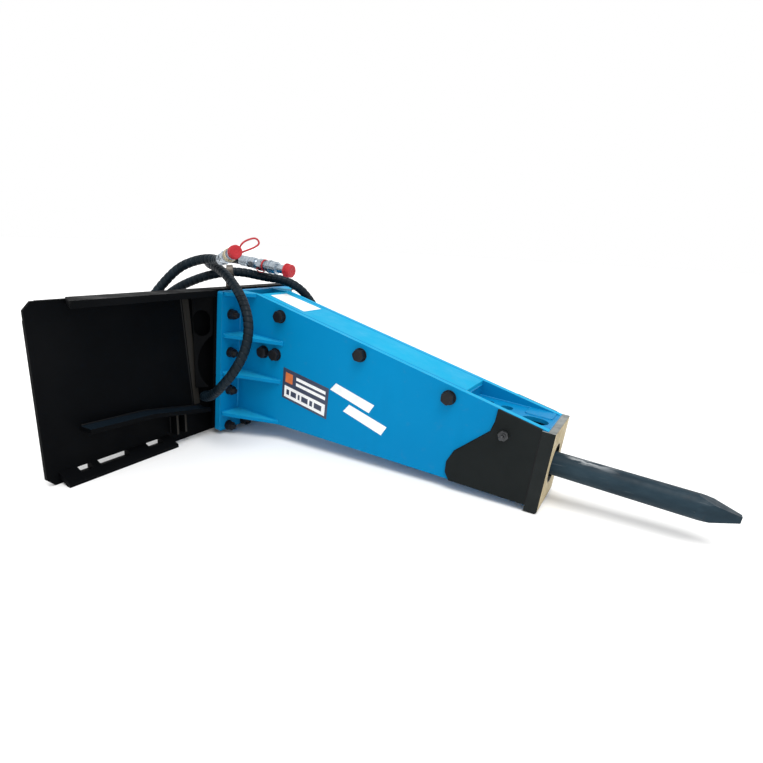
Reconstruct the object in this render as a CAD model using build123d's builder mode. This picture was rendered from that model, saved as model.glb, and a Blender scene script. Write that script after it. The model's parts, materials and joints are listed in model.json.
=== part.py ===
from build123d import *
import math
import os

os.makedirs("parts", exist_ok=True)

# Hydraulic breaker on a skid-steer coupler plate. Millimetres.
# Frame: X forward, from the coupler plate towards the tool point; Y across; Z up.
# Origin: on the coupler plate's rear mating face, at mid height, on the breaker's centre plane.

# ---------------------------------------------------------------- driving dimensions
PLATE_H = 512.0        # coupler plate height
PLATE_T = 12.0         # coupler plate thickness
PLATE_NEAR = -767.0    # plate end on the near side (the breaker is mounted off centre)
PLATE_FAR = 330.0      # plate end on the far side
PLATE_CH = 22.0        # plate corner chamfer

TILT = 4.0             # breaker axis runs down towards the point by this many degrees
OX, OZ = 75.0, -55.5   # breaker axis at the back face of the housing flange

FLG_T = 22.0           # flange thickness
FLG_W = 184.0          # flange half width
FLG_LO, FLG_HI = -185.0, 315.0
SIDE_Y = 94.0          # outer face of the side plates
SIDE_T = 20.0
IN_Y = SIDE_Y - SIDE_T
WEAR_T = 7.0
S_BEND, H_BEND = 92.0, 314.0
S_END, H_END = 1090.0, 120.7
S_FACE = 1126.0
S_SLOT = 863.0
BOT_A, BOT_B = -131.0, -105.0   # bottom edge height at the flange and at the front

TOOL_R = 34.0          # 68 mm tool
TOOL_TOP, TOOL_TIP = 790.0, 1571.0
TOOL_STROKE = 50.0
PISTON_STROKE = 80.0
BORE_R = 40.0
RUN = 0.06             # running clearance, radial

HOSE_R = 16.0
M24, M24_AF, M24_K = 12.0, 36.0, 15.0

th = math.radians(TILT)
AX = Vector(math.cos(th), 0, -math.sin(th))
HH = Vector(math.sin(th), 0, math.cos(th))
O = Vector(OX, 0, OZ)


def at(s, y, h):
    return O + AX * s + HH * h + Vector(0, y, 0)


def side(y):
    # local x runs along the breaker, local y is height, extrudes towards -Y
    return Plane(origin=at(0, y, 0), x_dir=AX, z_dir=(0, -1, 0))


def axial(s):
    # local x is Y, local y is height, extrudes along the breaker
    return Plane(origin=at(s, 0, 0), x_dir=(0, 1, 0), z_dir=AX)


def level(h):
    # local x runs along the breaker, local y is Y, extrudes upwards
    return Plane(origin=at(0, 0, h), x_dir=AX, z_dir=HH)


def top_h(s):
    return H_BEND + (s - S_BEND) * (H_END - H_BEND) / (S_END - S_BEND)


def bot_h(s):
    return BOT_A + (s - FLG_T) * (BOT_B - BOT_A) / (S_END - FLG_T)


def save(builder, name):
    builder.part.label = name
    export_step(builder.part, "parts/" + name + ".step")


# ================================================================ coupler plate and mount (welded, black)
LOCK_SLOTS = ((-679, -640), (-616, -515), (-444, -387), (214, 272))
with BuildPart() as coupler_plate:
    with BuildSketch(Plane.YZ) as sk:
        with Locations(((PLATE_NEAR + PLATE_FAR) / 2, 0)):
            Rectangle(PLATE_FAR - PLATE_NEAR, PLATE_H)
        chamfer(sk.vertices().group_by(Axis.Z)[-1], PLATE_CH)
    extrude(amount=PLATE_T)
    with Locations((1.25, (PLATE_NEAR + PLATE_FAR) / 2, 232)):
        Box(2.5, PLATE_FAR - PLATE_NEAR, 48, mode=Mode.SUBTRACT)
    for a, b in LOCK_SLOTS:
        with Locations((PLATE_T / 2, (a + b) / 2, -234)):
            Box(PLATE_T, b - a, 19, mode=Mode.SUBTRACT)
save(coupler_plate, "coupler_plate")

# angled rail along the top of the rear face: the carrier's coupler hooks under it
with BuildPart() as top_hook_rail:
    with BuildSketch(Plane.XZ.offset(-(PLATE_FAR - 40))):
        with BuildLine():
            Polyline((2.5, 240), (2.5, 252), (-8, 256), (-30, 240), (-30, 214), (-22, 214), (-22, 236), (-6, 247), (2.5, 240))
        make_face()
    extrude(amount=PLATE_FAR - PLATE_NEAR - 80)
save(top_hook_rail, "top_hook_rail")

# sloping lip along the bottom of the front face, with slots for the carrier's lock pins
with BuildPart() as bottom_lock_lip:
    for y0, y1 in ((-732, -350), (192, 295)):
        with BuildSketch(Plane.XZ.offset(-y1)):
            with BuildLine():
                Polyline((PLATE_T, -222), (PLATE_T, -237), (46, -256), (60, -256), (60, -246), (PLATE_T, -222))
            make_face()
        extrude(amount=y1 - y0)
    with BuildSketch(Plane.XY.offset(-260)):
        for a, b in LOCK_SLOTS:
            with Locations((PLATE_T + 11, (a + b) / 2)):
                Rectangle(22, b - a)
    extrude(amount=60, mode=Mode.SUBTRACT)
save(bottom_lock_lip, "bottom_lock_lip")

with BuildPart() as top_shelf:
    with BuildSketch(Plane.XY.offset(242)):
        with BuildLine():
            Polyline((PLATE_T, -655), (102, -697), (102, -190), (72, -190), (72, 190), (102, 190), (102, 262), (PLATE_T, 262), (PLATE_T, -655))
        make_face()
    extrude(amount=20)
save(top_shelf, "top_shelf")

with BuildPart() as lower_gussets:
    for sg, tip in ((-1, -655), (1, 262)):
        with BuildSketch(Plane.YZ.offset(PLATE_T)):
            with BuildLine():
                if sg < 0:
                    Polyline((-655, -118), (-655, -104), (-440, -113), (-200, -152), (-200, -166), (-440, -127), (-655, -118))
                else:
                    Polyline((200, -166), (200, -152), (262, -142), (262, -156), (200, -166))
            make_face()
        extrude(amount=52)
save(lower_gussets, "lower_gussets")

with BuildPart() as plate_ribs:
    for sg in (-1, 1):
        with BuildSketch(Plane.YZ.offset(PLATE_T)):
            with BuildLine():
                Polyline((sg * 268, 240), (sg * 240, 240), (sg * 208, -142), (sg * 236, -142), (sg * 268, 240))
            make_face()
        extrude(amount=6)
        for yy in (300, 335):
            if sg * yy < 300:
                with BuildSketch(Plane.XY.offset(-220)):
                    with Locations((PLATE_T + 16, sg * yy)):
                        Rectangle(32, 8)
                extrude(amount=69 if yy == 300 else 74)
save(plate_ribs, "plate_ribs")

# front plate of the mount: the housing flange bolts to it
MFP_T = 16.0
FB = [(x, h) for x in (-141, 141) for h in (238.0, 104.0, -34.0, -171.0)] + [(-60, -171.0), (60, -171.0)]
with BuildPart() as mount_front_plate:
    with BuildSketch(axial(-MFP_T)):
        with Locations((0, 62)):
            Rectangle(2 * FLG_W - 4, 486)
        with Locations((0, 160)):
            RectangleRounded(120, 150, 20, mode=Mode.SUBTRACT)
        with Locations(*FB):
            Circle(11, mode=Mode.SUBTRACT)
    extrude(amount=MFP_T)
save(mount_front_plate, "mount_front_plate")

# slanted side plates between the coupler plate and the mount's front plate, each with a hose opening
W0, W1 = Vector(31, -226, 0), Vector(60, -182, 0)
with BuildPart() as wedge_sides:
    for sg in (1, -1):
        d = Vector(W1.X - W0.X, sg * (W1.Y - W0.Y), 0).normalized()
        n = Vector(d.Y, -d.X, 0)
        with BuildSketch(Plane(origin=(W0.X, sg * W0.Y, 0), x_dir=d, z_dir=n)):
            with BuildLine():
                Polyline((-8, -78), (-8, 240), (70, 240), (36, -78), (-8, -78))
            make_face()
            with Locations((122.8, 7.2)):
                Circle(119.8, mode=Mode.SUBTRACT)
            with Locations((22, 148)):
                SlotOverall(88, 56, rotation=90, mode=Mode.SUBTRACT)
        extrude(amount=-10 * sg)
save(wedge_sides, "wedge_sides")

# ================================================================ housing weldment (blue)
with BuildPart() as housing_flange:
    with BuildSketch(axial(0)) as sk:
        with Locations((0, (FLG_LO + FLG_HI) / 2)):
            Rectangle(2 * FLG_W, FLG_HI - FLG_LO)
        fillet(sk.vertices(), 8)
        with Locations((0, 160)):
            RectangleRounded(120, 150, 20, mode=Mode.SUBTRACT)
        with Locations(*FB):
            Circle(11, mode=Mode.SUBTRACT)
    extrude(amount=FLG_T)
save(housing_flange, "housing_flange")

S_LIP = 1106.0
SIDE_BOLTS = [(200.0, 257.0), (136.0, 123.0), (189.0, 124.5), (518.5, 195.5), (822.0, 137.0)]
for sg, nm in ((-1, "side_plate_near"), (1, "side_plate_far")):
    with BuildPart() as side_plate:
        with BuildSketch(side(-SIDE_Y + SIDE_T if sg < 0 else SIDE_Y)):
            with BuildLine():
                Polyline(
                    (FLG_T, BOT_A), (FLG_T, H_BEND), (S_BEND, H_BEND), (S_LIP, top_h(S_LIP)), (S_LIP, 60), (S_END, 60),
                    (S_END, BOT_B), (FLG_T, BOT_A),
                )
            make_face()
            with Locations(*SIDE_BOLTS):
                Circle(12.5, mode=Mode.SUBTRACT)
            with Locations((996, 75.4)):
                Circle(8.2, mode=Mode.SUBTRACT)
        extrude(amount=SIDE_T)
    save(side_plate, nm)

with BuildPart() as top_cover:
    with BuildSketch(side(IN_Y)):
        with BuildLine():
            Polyline(
                (S_BEND, H_BEND),
                (S_SLOT, top_h(S_SLOT)),
                (S_SLOT, top_h(S_SLOT) - 14),
                (S_BEND, H_BEND - 14),
                (S_BEND, H_BEND),
            )
        make_face()
    extrude(amount=2 * IN_Y)
save(top_cover, "top_cover")

with BuildPart() as bottom_plate:
    with BuildSketch(side(IN_Y)):
        with BuildLine():
            Polyline((FLG_T, BOT_A), (S_END, BOT_B), (S_END, BOT_B + 14), (FLG_T, BOT_A + 14), (FLG_T, BOT_A))
        make_face()
    extrude(amount=2 * IN_Y)
save(bottom_plate, "bottom_plate")

with BuildPart() as flange_gussets:
    for h0 in (303.0, 161.0, 25.0, -125.0):
        for sg in (-1, 1):
            with BuildSketch(level(h0)):
                with BuildLine():
                    Polyline(
                        (FLG_T, sg * SIDE_Y),
                        (FLG_T, sg * (FLG_W - 8)),
                        (FLG_T + 10, sg * (FLG_W - 8)),
                        (92 if h0 > 300 else 218, sg * (SIDE_Y + 3)),
                        (92 if h0 > 300 else 218, sg * SIDE_Y),
                        (FLG_T, sg * SIDE_Y),
                    )
                make_face()
            extrude(amount=12)
save(flange_gussets, "flange_gussets")

with BuildPart() as end_plate:
    with BuildSketch(axial(S_END)) as sk:
        with Locations((0, (-122 + 116) / 2)):
            Rectangle(2 * (SIDE_Y + WEAR_T), 238)
        Circle(57, mode=Mode.SUBTRACT)
    extrude(amount=S_FACE - S_END)
    with BuildSketch(axial(S_END)):
        with Locations((0, 120)):
            Rectangle(2 * SIDE_Y, 120)
    extrude(amount=S_LIP - S_END, mode=Mode.SUBTRACT)
    chamfer(end_plate.edges().filter_by(Axis.Y).group_by(SortBy.LENGTH)[-1].sort_by(Axis.Z)[:1], 6)
save(end_plate, "end_plate")

with BuildPart() as wear_plates:
    for sg in (-1, 1):
        with BuildSketch(side(-SIDE_Y if sg < 0 else SIDE_Y + WEAR_T)) as sk:
            with BuildLine():
                Polyline(
                    (968, top_h(968) - 1), (S_END, H_END - 1), (S_END, BOT_B), (866, bot_h(866)),
                    (851, -88), (850, -56), (867, -17), (958, 73), (966, 104), (968, top_h(968) - 1),
                )
            make_face()
            with Locations((996, 75.4)):
                Circle(8.2, mode=Mode.SUBTRACT)
        extrude(amount=WEAR_T)
save(wear_plates, "wear_plates")

# deck between the side plates at the front, level with the tool, with an upstand under the cover's end
DECK = 117.0
with BuildPart() as front_deck_plate:
    with BuildSketch(side(IN_Y)):
        with BuildLine():
            Polyline(
                (851, 150), (863, 150), (863, DECK), (S_LIP, DECK), (S_LIP, DECK - 12), (851, DECK - 12), (851, 150),
            )
        make_face()
    extrude(amount=2 * IN_Y)
    with BuildSketch(level(60)):
        with Locations((910, 31)):
            Circle(10)
        with Locations((963, 18)):
            Circle(18)
        with Locations((1055, -31)):
            SlotOverall(74, 58)
    extrude(amount=60, mode=Mode.SUBTRACT)
    with BuildSketch(level(DECK)):
        with Locations((1056, 41)):
            RectangleRounded(76, 60, 6)
    extrude(amount=3)
save(front_deck_plate, "front_deck_plate")

# cross bolts hold the side plates on spacer tubes
with BuildPart() as cross_spacers:
    with BuildSketch(side(IN_Y)):
        with Locations(*SIDE_BOLTS):
            Circle(20)
            Circle(12.5, mode=Mode.SUBTRACT)
    extrude(amount=2 * IN_Y)
save(cross_spacers, "cross_spacers")

with BuildPart() as cross_bolts:
    with BuildSketch(side(SIDE_Y + 26)):
        with Locations(*SIDE_BOLTS):
            Circle(M24)
    extrude(amount=2 * SIDE_Y + 26 + 4)
    with BuildSketch(side(-SIDE_Y - 4)):
        with Locations(*SIDE_BOLTS):
            RegularPolygon(M24_AF / 2, 6, major_radius=False)
    extrude(amount=M24_K)
save(cross_bolts, "cross_bolts")

with BuildPart() as cross_bolt_nuts:
    with BuildSketch(side(SIDE_Y + 4 + 20)):
        with Locations(*SIDE_BOLTS):
            RegularPolygon(M24_AF / 2, 6, major_radius=False)
            Circle(M24, mode=Mode.SUBTRACT)
    extrude(amount=20)
save(cross_bolt_nuts, "cross_bolt_nuts")

with BuildPart() as cross_bolt_washers:
    for y0 in (-SIDE_Y, SIDE_Y + 4):
        with BuildSketch(side(y0)):
            with Locations(*SIDE_BOLTS):
                Circle(22)
                Circle(12.5, mode=Mode.SUBTRACT)
        extrude(amount=4)
save(cross_bolt_washers, "cross_bolt_washers")

# flange bolts: studs through flange and mount plate, washers and nuts on the front, heads behind
with BuildPart() as flange_studs:
    with BuildSketch(axial(-MFP_T - 12)):
        with Locations(*FB):
            RegularPolygon(15, 6, major_radius=False)
    extrude(amount=12)
    with BuildSketch(axial(-MFP_T)):
        with Locations(*FB):
            Circle(10)
    extrude(amount=MFP_T + FLG_T + 34)
save(flange_studs, "flange_studs")

with BuildPart() as flange_washers:
    with BuildSketch(axial(FLG_T)):
        with Locations(*FB):
            Circle(18)
            Circle(10.5, mode=Mode.SUBTRACT)
    extrude(amount=4)
save(flange_washers, "flange_washers")

with BuildPart() as flange_nuts:
    with BuildSketch(axial(FLG_T + 4)):
        with Locations(*FB):
            RegularPolygon(15, 6, major_radius=False)
            Circle(10, mode=Mode.SUBTRACT)
    extrude(amount=18)
save(flange_nuts, "flange_nuts")

# ================================================================ breaker power cell (inside the housing)
CELL = 66.0
RODS = [(x, h) for x in (-49, 49) for h in (-49, 49)]

with BuildPart() as back_head:
    with BuildSketch(axial(112)) as sk:
        Rectangle(2 * CELL, 2 * CELL)
        chamfer(sk.vertices(), 8)
        with Locations(*RODS):
            Circle(12, mode=Mode.SUBTRACT)
    extrude(amount=128)
    with BuildSketch(axial(150)):
        Circle(36)
    extrude(amount=90, mode=Mode.SUBTRACT)
    with BuildSketch(axial(112)):
        Circle(9)
    extrude(amount=38, mode=Mode.SUBTRACT)
    with BuildSketch(level(CELL)):
        with Locations((224, -22), (224, 22)):
            Circle(10)
    extrude(amount=-18, mode=Mode.SUBTRACT)
save(back_head, "back_head")

with BuildPart() as cylinder_body:
    with BuildSketch(axial(240)) as sk:
        Rectangle(2 * CELL, 2 * CELL)
        chamfer(sk.vertices(), 8)
        with Locations(*RODS):
            Circle(12, mode=Mode.SUBTRACT)
        Circle(31 + RUN, mode=Mode.SUBTRACT)
    extrude(amount=320)
    with BuildSketch(axial(290)):
        Circle(BORE_R)
    extrude(amount=270, mode=Mode.SUBTRACT)
save(cylinder_body, "cylinder_body")

PIN_S, PIN_R = 900.0, 12.0
FLAT_H = 27.0
PIN_H = FLAT_H + PIN_R + 0.3
with BuildPart() as front_head:
    with BuildSketch(axial(560)) as sk:
        Rectangle(2 * CELL, 2 * CELL)
        chamfer(sk.vertices(), 8)
        Circle(46, mode=Mode.SUBTRACT)
    extrude(amount=520)
    with BuildSketch(axial(600)):
        Circle(46)
        Circle(35, mode=Mode.SUBTRACT)
    extrude(amount=100)
    with BuildSketch(axial(560)):
        with Locations(*RODS):
            Circle(12)
    extrude(amount=80, mode=Mode.SUBTRACT)
    with BuildSketch(side(CELL)):
        with Locations((PIN_S, PIN_H), (PIN_S, -PIN_H)):
            Circle(PIN_R)
    extrude(amount=2 * CELL, mode=Mode.SUBTRACT)
    with BuildSketch(side(-40)):
        with Locations((996, 49.0)):
            Circle(5)
    extrude(amount=26, mode=Mode.SUBTRACT)
save(front_head, "front_head")

with BuildPart() as through_bolts:
    with BuildSketch(axial(78)):
        with Locations(*RODS):
            Circle(11.5)
    extrude(amount=560)
save(through_bolts, "through_bolts")

with BuildPart() as through_bolt_nuts:
    with BuildSketch(axial(90)):
        with Locations(*RODS):
            RegularPolygon(17, 6, major_radius=False)
            Circle(11.5, mode=Mode.SUBTRACT)
    extrude(amount=22)
save(through_bolt_nuts, "through_bolt_nuts")

# piston, at the lower end of its stroke
with BuildPart() as piston:
    with BuildSketch(axial(262)):
        Circle(31)
    extrude(amount=140)
    with BuildSketch(axial(402)):
        Circle(BORE_R - RUN)
    extrude(amount=118)
    with BuildSketch(axial(446)):
        Circle(BORE_R + 1)
        Circle(35, mode=Mode.SUBTRACT)
    extrude(amount=26, mode=Mode.SUBTRACT)
    with BuildSketch(axial(520)):
        Circle(33)
    extrude(amount=219)
    chamfer(piston.edges().filter_by(GeomType.CIRCLE).sort_by(Axis.X)[-1:], 3)
save(piston, "piston")

with BuildPart() as seal_carrier:
    with BuildSketch(axial(560)):
        Circle(45.9)
        Circle(33 + RUN, mode=Mode.SUBTRACT)
    extrude(amount=28)
save(seal_carrier, "seal_carrier")

with BuildPart() as piston_seals:
    for s0 in (589.0, 594.5):
        with BuildSketch(axial(s0)):
            Circle(45.8)
            Circle(33.3, mode=Mode.SUBTRACT)
        extrude(amount=5)
save(piston_seals, "piston_seals")

with BuildPart() as upper_tool_bush:
    with BuildSketch(axial(762)):
        Circle(45.95)
        Circle(TOOL_R + RUN, mode=Mode.SUBTRACT)
    extrude(amount=98)
save(upper_tool_bush, "upper_tool_bush")

with BuildPart() as thrust_ring:
    with BuildSketch(axial(702)):
        Circle(45.9)
        Circle(35.2, mode=Mode.SUBTRACT)
    extrude(amount=58)
save(thrust_ring, "thrust_ring")

with BuildPart() as lower_tool_bush:
    with BuildSketch(axial(930)):
        Circle(45.95)
        Circle(TOOL_R + RUN, mode=Mode.SUBTRACT)
    extrude(amount=150)
save(lower_tool_bush, "lower_tool_bush")

with BuildPart() as dust_seal:
    with BuildSketch(axial(1080.5)):
        Circle(45.5)
        Circle(TOOL_R + 0.35, mode=Mode.SUBTRACT)
    extrude(amount=14)
save(dust_seal, "dust_seal")

with BuildPart() as retaining_pins:
    with BuildSketch(side(CELL - 8)):
        with Locations((PIN_S, PIN_H), (PIN_S, -PIN_H)):
            Circle(PIN_R - 0.05)
    extrude(amount=2 * CELL - 16)
save(retaining_pins, "retaining_pins")

# tool: round shank with two retaining flats and a four-sided moil point
with BuildPart() as chisel:
    with BuildSketch(axial(1474)):
        Circle(TOOL_R)
    extrude(amount=TOOL_TIP - 1474)
    with BuildSketch(axial(1474)):
        Rectangle(66, 66)
    with BuildSketch(axial(TOOL_TIP)):
        Rectangle(17, 17)
    loft(mode=Mode.INTERSECT)
    with BuildSketch(axial(TOOL_TOP)):
        Circle(TOOL_R)
    extrude(amount=1474 - TOOL_TOP)
    chamfer(chisel.edges().filter_by(GeomType.CIRCLE).sort_by(Axis.X)[:1], 4)
    for sg in (-1, 1):
        with BuildSketch(side(40)):
            with Locations((PIN_S - PIN_R - 1 + 39, sg * (FLAT_H + 10))):
                Rectangle(78, 20)
        extrude(amount=80, mode=Mode.SUBTRACT)
save(chisel, "chisel")

# control valve on the cylinder
with BuildPart() as valve_block:
    with BuildSketch(level(CELL)) as sk:
        with Locations((370, 0)):
            Rectangle(140, 90)
        fillet(sk.vertices(), 8)
    extrude(amount=50)
    with BuildSketch(axial(316)):
        with Locations((0, CELL + 25)):
            Circle(14)
    extrude(amount=130, mode=Mode.SUBTRACT)
save(valve_block, "valve_block")

with BuildPart() as valve_spool:
    with BuildSketch(axial(320)):
        with Locations((0, CELL + 25)):
            Circle(14 - RUN)
    extrude(amount=90)
    for s0 in (342, 372):
        with BuildSketch(axial(s0)):
            with Locations((0, CELL + 25)):
                Circle(16)
                Circle(9, mode=Mode.SUBTRACT)
        extrude(amount=14, mode=Mode.SUBTRACT)
save(valve_spool, "valve_spool")

with BuildPart() as valve_cap:
    with BuildSketch(axial(440)) as sk:
        with Locations((0, CELL + 25)):
            Rectangle(70, 44)
        fillet(sk.vertices(), 8)
    extrude(amount=12)
save(valve_cap, "valve_cap")

with BuildPart() as gas_charge_valve:
    with BuildSketch(axial(112)):
        Circle(8.8)
    extrude(amount=34)
    with BuildSketch(axial(98)):
        RegularPolygon(12, 6, major_radius=False)
    extrude(amount=14)
save(gas_charge_valve, "gas_charge_valve")

# urethane dampers that carry the power cell in the housing
with BuildPart() as upper_buffer:
    with BuildSketch(axial(FLG_T)) as sk:
        Rectangle(116, 116)
        fillet(sk.vertices(), 12)
        Circle(20, mode=Mode.SUBTRACT)
    extrude(amount=54)
save(upper_buffer, "upper_buffer")

with BuildPart() as cell_dampers:
    for y0 in (IN_Y, -CELL):
        with BuildSketch(side(y0)):
            with Locations((190, 0), (760, 0)):
                RectangleRounded(90, 90, 10)
        extrude(amount=IN_Y - CELL)
    for s0, s1 in ((150, 230), (700, 800)):
        with BuildSketch(side(45)):
            with BuildLine():
                Polyline((s0, -CELL), (s1, -CELL), (s1, bot_h(s1) + 14), (s0, bot_h(s0) + 14), (s0, -CELL))
            make_face()
        extrude(amount=90)
    with BuildSketch(side(45)):
        with BuildLine():
            Polyline((1000, CELL), (1060, CELL), (1060, 84), (1000, 84), (1000, CELL))
        make_face()
    extrude(amount=90)
save(cell_dampers, "cell_dampers")

# grease fitting screwed through the near wear plate
with BuildPart() as grease_fitting:
    with BuildSketch(side(-CELL)):
        with Locations((996, 75.4)):
            Circle(8)
    extrude(amount=SIDE_Y + WEAR_T - CELL + 1)
    with BuildSketch(side(-SIDE_Y - WEAR_T - 1)):
        with Locations((996, 75.4)):
            Circle(15)
    extrude(amount=9)
    with BuildSketch(side(-SIDE_Y - WEAR_T - 10)):
        with Locations((996, 75.4)):
            Circle(6.5)
    extrude(amount=24)
    chamfer(grease_fitting.edges().filter_by(GeomType.CIRCLE).sort_by(Axis.Y)[:1], 1.5)
save(grease_fitting, "grease_fitting")

# ================================================================ hydraulic lines
# exit fittings sit in the openings of the mount's side plates; steel tubes join them to the back head
EX = Vector(40, -186, -110)
ED = Vector(0.25, -0.96, 0.12).normalized()


def flip(v, sg):
    return Vector(v.X, v.Y * sg, v.Z)


with BuildPart() as exit_fittings:
    for sg in (1, -1):
        pl = Plane(origin=flip(EX - ED * 46, sg), z_dir=flip(ED, sg))
        with BuildSketch(pl):
            RegularPolygon(14.5, 6, major_radius=False)
        extrude(amount=18)
        with BuildSketch(pl.offset(18)):
            Circle(15)
        extrude(amount=28)
save(exit_fittings, "exit_fittings")

with BuildPart() as port_tubes:
    for sg in (1, -1):
        a = at(224, sg * -22, CELL - 18)
        with BuildLine() as ln:
            FilletPolyline(
                a, at(224, sg * -22, 88), at(100, sg * -26, 88), at(58, sg * -38, 122), at(-36, sg * -44, 128),
                flip(EX - ED * 46 - ED * 22, sg), flip(EX - ED * 46, sg), radius=[20, 20, 20, 16, 22],
            )
        with BuildSketch(Plane(origin=a, z_dir=HH)):
            Circle(9.9)
        sweep(path=ln.wires()[0])
save(port_tubes, "port_tubes")

# free hoses: straight runs joined by tangent arcs
D2 = Vector(math.cos(math.radians(6)), 0, -math.sin(math.radians(6)))
S2 = Vector(15, 22, 352)
D1 = Vector(0.81, -0.57, 0.14).normalized()
S1 = Vector(128, -192, 362)
NEAR = [
    EX, EX + ED * 45, (95, -242, -98), (150, -266, -70), (208, -292, -32), (260, -280, 30), (286, -254, 102),
    (272, -224, 180), (215, -194, 250), (130, -160, 302), (48, -128, 330), (-20, -108, 340), (-62, -66, 346),
    (-64, -6, 352), S2 - D2 * 46, S2,
]
FAR = [
    flip(EX, -1), flip(EX + ED * 45, -1), (95, 250, -96), (145, 275, -66), (198, 286, -14), (236, 262, 62), (246, 222, 134),
    (236, 172, 200), (212, 130, 258), (164, 92, 290), (98, 58, 296), (51, -25, 316), (0, -70, 309), (-67, -108, 288), (-160, -142, 243),
    (-222, -176, 180), (-250, -238, 112), (-240, -312, 66), (-188, -362, 72), (-142, -352, 128), (-128, -296, 194),
    (-108, -238, 268), (-69, -196, 326), (-14, -168, 352), (42, -158, 361), S1 - D1 * 42, S1,
]


def hose(points, name):
    pts = [Vector(p) for p in points]
    radii, turns = [], []
    for p, q, r in zip(pts, pts[1:], pts[2:]):
        turn = (q - p).get_angle(r - q)
        run = min((q - p).length, (r - q).length)
        radii.append(0.45 * run / math.tan(math.radians(turn) / 2))
        turns.append(turn)
    with BuildPart() as tube:
        with BuildLine() as line:
            FilletPolyline(*pts, radius=radii)
        with BuildSketch(Plane(origin=pts[0], z_dir=(pts[1] - pts[0]))):
            Circle(HOSE_R)
        sweep()
    length = sum(e.length for e in line.edges())
    print(name, "length", round(length), "volume ratio", round(tube.part.volume / (math.pi * HOSE_R**2 * length), 4))
    print("  radii", [round(r) for r in radii], "turns", [round(t) for t in turns])
    save(tube, name)


hose(NEAR, "hose_near")
hose(FAR, "hose_far")

# couplers: ferrule, adapter, coupler body, spring-back sleeve, dust cap
for S, D, nm in ((S2, D2, "near"), (S1, D1, "far")):
    pl = Plane(origin=S, z_dir=D)
    with BuildPart() as ferrule:
        with BuildSketch(pl):
            Circle(19)
        extrude(amount=44)
        with BuildSketch(pl.offset(44)):
            Circle(14)
        extrude(amount=8)
    save(ferrule, "hose_ferrule_" + nm)
    with BuildPart() as adapter:
        with BuildSketch(pl.offset(52)):
            RegularPolygon(19, 6, major_radius=False)
        extrude(amount=20)
        with BuildSketch(pl.offset(72)):
            Circle(14)
        extrude(amount=14)
        with BuildSketch(pl.offset(86)):
            RegularPolygon(19, 6, major_radius=False)
        extrude(amount=20)
    save(adapter, "adapter_" + nm)
    RS, RRIB, RC, RRIM = (21, 22.5, 22, 24) if nm == "near" else (18.8, 20.2, 18.4, 19.8)
    with BuildPart() as body:
        with BuildSketch(pl.offset(106)):
            Circle(18.5)
        extrude(amount=14)
        with BuildSketch(pl.offset(120)):
            Circle(15)
        extrude(amount=110)
        with BuildSketch(pl.offset(190)):
            Circle(9)
        extrude(amount=40, mode=Mode.SUBTRACT)
    save(body, "coupler_body_" + nm)
    with BuildPart() as sleeve:
        with BuildSketch(pl.offset(130)):
            Circle(RS)
            Circle(15 + RUN, mode=Mode.SUBTRACT)
        extrude(amount=42)
        with BuildSketch(pl.offset(136)):
            Circle(RRIB)
            Circle(RS - 1, mode=Mode.SUBTRACT)
        extrude(amount=8)
    save(sleeve, "coupler_sleeve_" + nm)
    with BuildPart() as cap:
        with BuildSketch(pl.offset(208)):
            Circle(RC)
        extrude(amount=28)
        with BuildSketch(pl.offset(208)):
            Circle(15.35)
        extrude(amount=23, mode=Mode.SUBTRACT)
        chamfer(cap.edges().filter_by(GeomType.CIRCLE).group_by(SortBy.RADIUS)[-1].sort_by(Axis(S, D))[-1:], 2.5)
        with BuildSketch(pl.offset(210)):
            Circle(RRIM)
            Circle(RC - 1, mode=Mode.SUBTRACT)
        extrude(amount=6)
        if nm == "far":
            lp = Plane(origin=S + D * 213, x_dir=Vector(0, 0, 1).cross(D) * -1, z_dir=D)
            pts = [(-15, -10), (-24, -26), (-46, -38), (-66, -39), (-72, -30), (-56, -15), (-34, -6), (-17, 2)]
            with BuildLine() as ln:
                Spline([lp.from_local_coords(Vector(x, y, 0)) for x, y in pts])
            with BuildSketch(Plane(origin=ln.edges()[0] @ 0, z_dir=ln.edges()[0] % 0)):
                Circle(2.6)
            sweep(path=ln.edges()[0])
    save(cap, "dust_cap_" + nm)

# hose clamp on the mount's top shelf
HB, HC = Vector(51, -25, 316), Vector(0, -70, 309)
CD = (HC - HB).normalized()
CM = (HB + HC) * 0.5
with BuildPart() as hose_clamp:
    with BuildSketch(Plane(origin=CM - CD * 11, z_dir=CD)):
        Circle(25)
        Circle(19, mode=Mode.SUBTRACT)
    extrude(amount=22)
    with BuildSketch(Plane.XY.offset(262)):
        with Locations((CM.X, CM.Y)):
            Rectangle(24, 24)
    extrude(amount=CM.Z - 262 - 20.5)
save(hose_clamp, "hose_clamp")
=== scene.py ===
import bpy
import json
import math
import numpy as np
from mathutils import Matrix, Vector


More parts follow.
